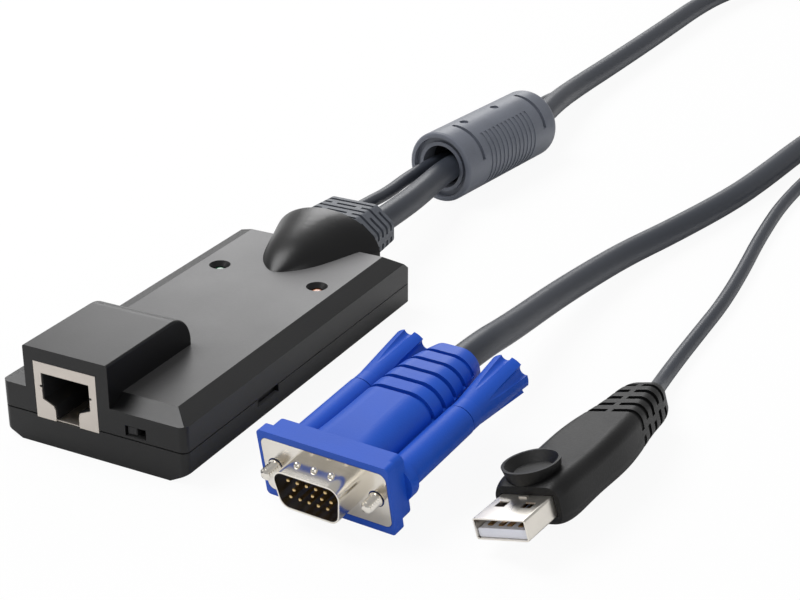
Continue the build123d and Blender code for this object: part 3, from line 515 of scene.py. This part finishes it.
def threaded_screw(name, side, material, body):
    """Jackscrew with a rolled thread on its end, round its axis at `side` millimetres."""
    origin, across, back, up = plug_axes()
    sides = 28
    tip = [(3.92, 0.0, 0), (3.9, 0.75, 0)]
    thread = [(THREAD_END - 0.08 * step, THREAD_RADIUS, 1) for step in range(42)]
    shank = [(0.28, SHANK_RADIUS, 0), (SHANK_BACK, SHANK_RADIUS, 0), (SHANK_BACK, 0.0, 0)]
    mesh = bmesh.new()
    loops = []
    for reach, radius, cut in tip + thread + shank:
        loop = []
        for index in range(sides):
            angle = 2 * math.pi * index / sides
            phase = (reach / THREAD_PITCH + index / sides) % 1.0
            depth = THREAD_DEPTH * abs(2 * phase - 1) * cut
            if reach > THREAD_TAPER_START:
                depth += (reach - THREAD_TAPER_START) * 0.5 * cut
            ring = max(radius - depth, 0.01)
            sideways = across * (side + ring * math.cos(angle))
            spot = sideways + up * (ring * math.sin(angle)) - back * reach
            loop.append(mesh.verts.new(origin + spot * MM))
        loops.append(loop)
    for first, second in zip(loops, loops[1:]):
        for index in range(sides):
            after = (index + 1) % sides
            mesh.faces.new((first[index], first[after], second[after], second[index]))
    bmesh.ops.recalc_face_normals(mesh, faces=mesh.faces)
    data = bpy.data.meshes.new(name)
    mesh.to_mesh(data)
    mesh.free()
    shade_smooth(data, 50)
    return new_piece(name, data, material, body)


# Operators


class DONGLE_OT_stage(bpy.types.Operator):
    """Sets up the floor, the lamps and the camera."""

    bl_idname = "dongle.stage"
    bl_label = "Stage"

    def execute(self, context):
        scene = context.scene
        scene.view_settings.view_transform = "Standard"
        side = sizes().floor_width / 2
        mesh = bpy.data.meshes.new("floor")
        corners = ((-side, -side, 0), (side, -side, 0), (side, side, 0), (-side, side, 0))
        mesh.from_pydata(corners, [], [(0, 1, 2, 3)])
        floor = bpy.data.objects.new("floor", mesh)
        scene.collection.objects.link(floor)
        paper = Finish("floor_paper", Roughness=0.9, IOR=1.3)
        tooth = paper.noise(900.0, 2.0)
        paper.surface(
            Base_Color=paper.mixed(tooth, shade_of(colours().floor, 0.985), tuple(colours().floor)),
            Normal=paper.bumped(tooth, 0.00001, 0.3),
        )
        glow = paper.node("ShaderNodeEmission", {}, {"Color": (1.0, 1.0, 1.0), "Strength": 1.0})
        seen = paper.node("ShaderNodeLightPath", output="Is Camera Ray")
        both = paper.node(
            "ShaderNodeMixShader",
            {},
            {0: 0.93 * seen, 1: Reading(paper, paper.shader.outputs[0]), 2: glow},
        )
        paper.links.new(both.socket, paper.output.inputs["Surface"])
        mesh.materials.append(paper.material)

        world = bpy.data.worlds.new("studio")
        scene.world = world
        world.use_nodes = True
        nodes = world.node_tree.nodes
        links = world.node_tree.links
        nodes.clear()
        path = nodes.new("ShaderNodeLightPath")
        lit = nodes.new("ShaderNodeBackground")
        lit.inputs["Color"].default_value = (1.0, 1.0, 1.0, 1.0)
        lit.inputs["Strength"].default_value = 0.42
        white = nodes.new("ShaderNodeBackground")
        white.inputs["Color"].default_value = (1.0, 1.0, 1.0, 1.0)
        white.inputs["Strength"].default_value = 1.0
        either = nodes.new("ShaderNodeMath")
        either.operation = "MAXIMUM"
        links.new(path.outputs["Is Camera Ray"], either.inputs[0])
        links.new(path.outputs["Is Transmission Ray"], either.inputs[1])
        both = nodes.new("ShaderNodeMixShader")
        out = nodes.new("ShaderNodeOutputWorld")
        links.new(either.outputs[0], both.inputs[0])
        links.new(lit.outputs[0], both.inputs[1])
        links.new(white.outputs[0], both.inputs[2])
        links.new(both.outputs[0], out.inputs["Surface"])

        for name, place, target, size, power in (
            ("key", (-0.55, -0.05, 0.95), (0.04, 0.05, 0.0), 0.6, 9.0),
            ("fill", (0.95, -0.6, 0.5), (0.05, 0.0, 0.0), 0.8, 2.6),
            ("back", (-0.62, 1.15, 0.62), (0.04, 0.05, 0.0), 0.6, 4.2),
        ):
            light = bpy.data.lights.new(name, "AREA")
            light.shape = "SQUARE"
            light.size = size
            light.energy = power
            lamp = bpy.data.objects.new(name, light)
            scene.collection.objects.link(lamp)
            lamp.location = place
            lamp.rotation_euler = (Vector(target) - Vector(place)).to_track_quat("-Z", "Y").to_euler()

        camera_data = bpy.data.cameras.new("camera")
        camera_data.lens = sizes().camera_lens
        camera_data.sensor_width = 36.0
        camera = bpy.data.objects.new("camera", camera_data)
        scene.collection.objects.link(camera)
        camera.location = CAMERA_PLACE
        camera.rotation_euler = (math.pi / 2 - sizes().camera_tilt, 0.0, sizes().camera_turn)
        scene.camera = camera
        return {"FINISHED"}


class DONGLE_OT_case(bpy.types.Operator):
    """Finishes the case shells, the board and the strain relief."""

    bl_idname = "dongle.case"
    bl_label = "Case"

    def execute(self, context):
        # The case shells get a painted sheen on their upward flat faces, in place of the back lamp's
        # reflection
        shell = sheen_painted_moulded("case_plastic", colours().case, tuple(colours().painted_lid_sheen), 0.34)
        dress(shell, "upper_case", "lower_case")
        smooth(("upper_case", "lower_case"), 32)
        dress(board_mask("board_mask", (0.02, 0.16, 0.08)), "circuit_board")
        dress(moulded("chip_mould", (0.03, 0.03, 0.03), 0.6), "board_parts")
        dress(soft_moulded("relief_rubber", colours().boot, 0.5), "case_boot")
        smooth(("case_boot",), 30)
        return {"FINISHED"}


class DONGLE_OT_socket(bpy.types.Operator):
    """Finishes the network socket."""

    bl_idname = "dongle.socket"
    bl_label = "Network socket"

    def execute(self, context):
        dress(plated("dull_tin", colours().shield, 0.45, (300.0, 300.0, 40.0)), "socket_shield")
        dress(moulded("socket_mould", (0.01, 0.01, 0.011), 0.5), "socket_body")
        dress(plated("contact_gold", colours().gold, 0.25), "socket_contacts")
        return {"FINISHED"}


class DONGLE_OT_controls(bpy.types.Operator):
    """Finishes the lamps and the slide switch."""

    bl_idname = "dongle.controls"
    bl_label = "Lamps and switch"

    def execute(self, context):
        dress(lens("lamp_green", (0.015, 0.11, 0.05), 0.18), "link_lamp")
        dress(lens("lamp_orange", (0.42, 0.12, 0.025), 0.18), "power_lamp")
        smooth(("link_lamp", "power_lamp"), 40)
        dress(moulded("switch_mould", (0.014, 0.014, 0.015), 0.45), "switch_body", "switch_slider")
        return {"FINISHED"}


class DONGLE_OT_leads(bpy.types.Operator):
    """Makes both leads and finishes the ferrite sleeve."""

    bl_idname = "dongle.leads"
    bl_label = "Leads and sleeve"

    def execute(self, context):
        skin = jacket("lead_jacket", colours().jacket, 0.42)
        sleeve = soft_moulded("sleeve_plastic", colours().sleeve, 0.42)
        dress(sleeve, "ferrite_sleeve")
        dress(moulded("ferrite_sinter", (0.05, 0.05, 0.055), 0.7), "ferrite_core")
        smooth(("ferrite_sleeve", "ferrite_core"), 30)
        video = lead_curve("video_cord", VIDEO_ROUTE, sizes().video_lead, skin)
        usb = lead_curve("usb_cord", USB_ROUTE, sizes().usb_lead, skin)
        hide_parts("video_lead")
        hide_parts("usb_lead")
        return {"FINISHED"}


class DONGLE_OT_video_plug(bpy.types.Operator):
    """Finishes the video plug and its thumbscrews."""

    bl_idname = "dongle.video_plug"
    bl_label = "Video plug"

    def execute(self, context):
        blue = moulded("plug_blue", colours().video, 0.46, 2200.0, 0.00003, 0.05)
        dress(blue, "video_hood", "left_knob", "right_knob")
        smooth(("video_hood", "left_knob", "right_knob"), 30)
        nickel = plated("nickel_plate", colours().nickel, 0.2)
        dress(nickel, "video_shell", "left_jackscrew", "right_jackscrew")
        smooth(("video_shell", "left_jackscrew", "right_jackscrew"), 30)
        on_lead = [n for n in frame["nodes"] if n.startswith("video_") and n != "video_lead"]
        on_lead += ["left_knob", "right_knob", "ferrite_sleeve", "ferrite_core"]
        carried = [frame["nodes"][n] for n in on_lead]
        for name, side in (("left", -SCREW_SIDE), ("right", SCREW_SIDE)):
            screw = threaded_screw(name + "_thread", side, nickel, name + "_thumbscrew")
            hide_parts(name + "_jackscrew")
            carried.append(screw)
        dress(moulded("insert_navy", (0.006, 0.008, 0.03), 0.4), "video_insert")
        dress(plated("pin_gold", colours().gold, 0.22), "video_pins")
        smooth(("video_pins",), 40)
        return {"FINISHED"}


class DONGLE_OT_usb_plug(bpy.types.Operator):
    """Finishes the USB plug."""

    bl_idname = "dongle.usb_plug"
    bl_label = "USB plug"

    def execute(self, context):
        grip = moulded("usb_grip", colours().usb, 0.5, 2000.0, 0.00005, 0.1)
        dress(grip, "usb_overmould")
        smooth(("usb_overmould",), 30)
        dress(plated("usb_nickel", colours().nickel, 0.3), "usb_shell")
        dress(moulded("tongue_white", (0.78, 0.79, 0.86), 0.4), "usb_tongue")
        dress(plated("usb_gold", (0.5, 0.3, 0.12), 0.3), "usb_contacts")
        return {"FINISHED"}


class DONGLE_PT_looks(bpy.types.Panel):
    """Lists the dongle's steps, sizes and colours."""

    bl_label = "Dongle"
    bl_idname = "DONGLE_PT_looks"
    bl_space_type = "VIEW_3D"
    bl_region_type = "UI"
    bl_category = "Dongle"

    def draw(self, context):
        for step in STEPS:
            self.layout.operator(step.bl_idname)
        for group in (context.scene.dongle_sizes, context.scene.dongle_colours):
            box = self.layout.box()
            for name in group.__annotations__:
                box.prop(group, name)


STEPS = (
    DONGLE_OT_stage,
    DONGLE_OT_case,
    DONGLE_OT_socket,
    DONGLE_OT_controls,
    DONGLE_OT_leads,
    DONGLE_OT_video_plug,
    DONGLE_OT_usb_plug,
)
CLASSES = (DongleColours, DongleSizes, *STEPS, DONGLE_PT_looks)


def register():
    for item in CLASSES:
        bpy.utils.register_class(item)
    bpy.types.Scene.dongle_colours = PointerProperty(type=DongleColours)
    bpy.types.Scene.dongle_sizes = PointerProperty(type=DongleSizes)


def unregister():
    del bpy.types.Scene.dongle_sizes
    del bpy.types.Scene.dongle_colours
    for item in reversed(CLASSES):
        bpy.utils.unregister_class(item)


def main():
    register()
    for step in STEPS:
        group, name = step.bl_idname.split(".")
        getattr(getattr(bpy.ops, group), name)()


if __name__ == "__main__":
    main()
